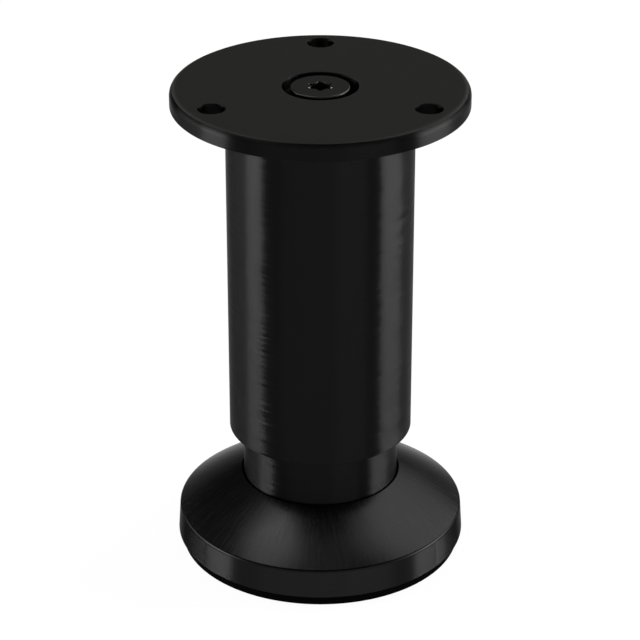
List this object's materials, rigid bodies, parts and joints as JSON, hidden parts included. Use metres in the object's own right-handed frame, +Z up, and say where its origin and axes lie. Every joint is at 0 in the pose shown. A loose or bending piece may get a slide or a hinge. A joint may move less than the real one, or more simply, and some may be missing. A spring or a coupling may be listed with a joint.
{
  "type": "adjustable furniture leg",
  "caption": "Round adjustable furniture leg with a flat mounting plate, a brushed tube, and a domed foot that screws in and out on a telescoping sleeve.",
  "frame": {"origin": "centre of the foot's underside, on the floor and on the leg's axis", "axes": "+Z up along the leg's axis; +Y towards the back fixing hole, away from the viewer of the picture; +X to the viewer's right"},
  "size_m": [0.0794, 0.0794, 0.1346],
  "materials": {
    "plate_coat": "matt black coating, even and slightly warm",
    "screw_black": "black oxide, satin",
    "brushed_black": "brushed round the axis, then stained black, satin",
    "foot_black": "pressed and brushed, then stained black, satin",
    "nylon_black": "moulded, matt black",
    "zinc_steel": "zinc plated, dull silver",
    "pad_rubber": "matt black"
  },
  "bodies": {
    "leg": {"mounting_plate": "plate_coat", "plate_screw": "screw_black", "tube": "brushed_black", "top_insert": "nylon_black", "plate_nut": "zinc_steel", "lower_insert": "nylon_black", "spindle_nut": "zinc_steel", "guide_bush": "nylon_black"},
    "sleeve": {"sleeve": "brushed_black", "sleeve_guide": "nylon_black"},
    "foot": {"foot_disc": "foot_black", "foot_base": "nylon_black", "foot_pad": "pad_rubber", "spindle": "zinc_steel", "clamp_washer": "zinc_steel", "clamp_nut": "zinc_steel"}
  },
  "joints": [
    {"name": "foot_slide", "type": "slide", "parent": "leg", "child": "sleeve", "axis": [0, 0, -1], "range_m": [-0.01365, 0.00635]},
    {"name": "foot_turn", "type": "hinge", "parent": "sleeve", "child": "foot", "pos_m": [0, 0, 0.01], "axis": [0, 0, -1], "range_deg": [-3276, 1524]}
  ],
  "couplings": [
    {"joint": "foot_slide", "follows": "foot_turn", "m_per_rad": 0.00023873}
  ]
}
